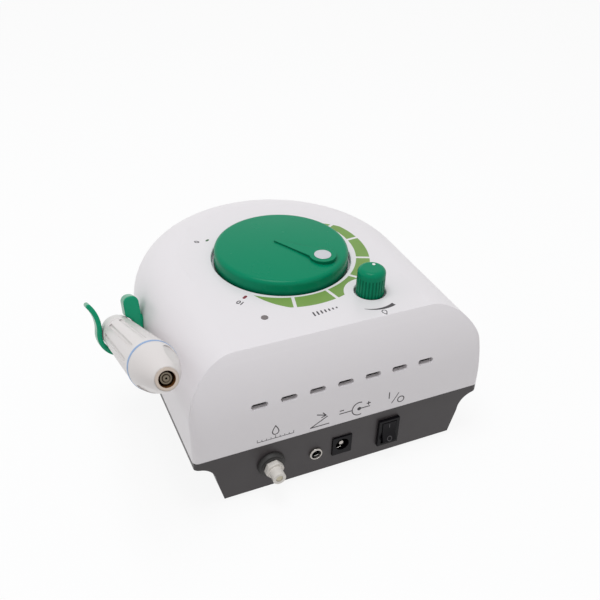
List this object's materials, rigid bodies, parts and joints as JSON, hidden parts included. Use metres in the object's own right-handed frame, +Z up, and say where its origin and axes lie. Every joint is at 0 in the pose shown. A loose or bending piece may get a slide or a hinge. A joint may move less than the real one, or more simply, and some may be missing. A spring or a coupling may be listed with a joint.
{
  "type": "dental ultrasonic scaler",
  "caption": "Table-top ultrasonic scaler console with a large power dial, water knob, rear inlets and rocker switch, and a fluted handpiece clipped in a side holder.",
  "frame": {"origin": "on the table plane, under the middle of the housing between rear panel and rounded front", "axes": "+Z up, +Y towards the rear panel, +X towards the handpiece holder"},
  "size_m": [0.1642, 0.1695, 0.0914],
  "materials": {
    "white_cover": "gloss moulded",
    "grey_base": "fine matt moulded",
    "green_control": "satin moulded",
    "silver_inlay": "satin",
    "white_grip": "satin moulded",
    "blue_ring": "satin",
    "nylon_white": "natural nylon",
    "black_plastic": "moulded",
    "rubber_black": "matt",
    "bright_metal": "nickel plated",
    "steel": "machined",
    "aluminium": "extruded",
    "brass": "machined",
    "board_green": "solder mask",
    "copper_winding": "enamelled wire",
    "ceramic": "fired ceramic",
    "hose_clear": "translucent tube",
    "lens_grey": "smoked",
    "seal_red": "silicone",
    "white_paint": "printed"
  },
  "bodies": {
    "console": {"upper_shell": "white_cover", "base_pan": "grey_base", "rubber_feet": "rubber_black", "case_screws": "steel", "power_potentiometer": "steel", "potentiometer_nut": "bright_metal", "water_valve": "brass", "valve_nut": "bright_metal", "indicator_lens": "lens_grey", "indicator_lamp": "lens_grey", "main_board": "board_green", "board_screws": "steel", "heat_sink": "aluminium", "power_transistors": "black_plastic", "transformer_core": "black_plastic", "transformer_winding": "copper_winding", "capacitors": "black_plastic", "board_connectors": "nylon_white", "solenoid_body": "brass", "solenoid_coil": "black_plastic", "inlet_hose": "hose_clear", "valve_hose": "hose_clear", "outlet_hose": "hose_clear", "inlet_grommet": "rubber_black", "inlet_fitting": "nylon_white", "inlet_nut": "nylon_white", "footswitch_jack": "black_plastic", "jack_ring": "bright_metal", "dc_inlet": "black_plastic", "dc_pin": "bright_metal", "switch_frame": "black_plastic", "rocker_pin": "steel", "cord_outlet": "grey_base", "outlet_nut": "black_plastic", "handpiece_holder": "green_control", "holder_screws": "steel"},
    "dial": {"power_dial": "green_control", "dial_inlay": "silver_inlay", "dial_shaft": "steel"},
    "knob": {"water_knob": "green_control", "knob_marker": "white_paint", "valve_stem": "steel"},
    "rocker_body": {"rocker": "black_plastic"},
    "handpiece": {"handpiece_grip": "white_grip", "tail_collar": "white_grip", "tail_insert": "black_plastic", "contact_pads": "brass", "colour_ring": "blue_ring", "nose_cone": "white_grip", "horn": "steel", "horn_seal": "seal_red", "piezo_rings": "ceramic", "electrodes": "brass", "back_mass": "steel", "stack_bolt": "steel"}
  },
  "joints": [
    {"name": "dial_turn", "type": "hinge", "parent": "console", "child": "dial", "pos_m": [0, 0.0007, 0.07], "axis": [0, 0, 1], "range_deg": [-85.5, 192.5]},
    {"name": "knob_turn", "type": "hinge", "parent": "console", "child": "knob", "pos_m": [-0.0264, 0.0424, 0.07], "axis": [0, 0, 1], "range_deg": [-135, 135]},
    {"name": "rocker_tilt", "type": "hinge", "parent": "console", "child": "rocker_body", "pos_m": [-0.0224, 0.074, 0.0147], "axis": [1, 0, 0], "range_deg": [-20, 0]},
    {"name": "handpiece_pull", "type": "slide", "parent": "console", "child": "handpiece", "axis": [0, 0.9063, 0.4226], "range_m": [0, 0.06]}
  ]
}
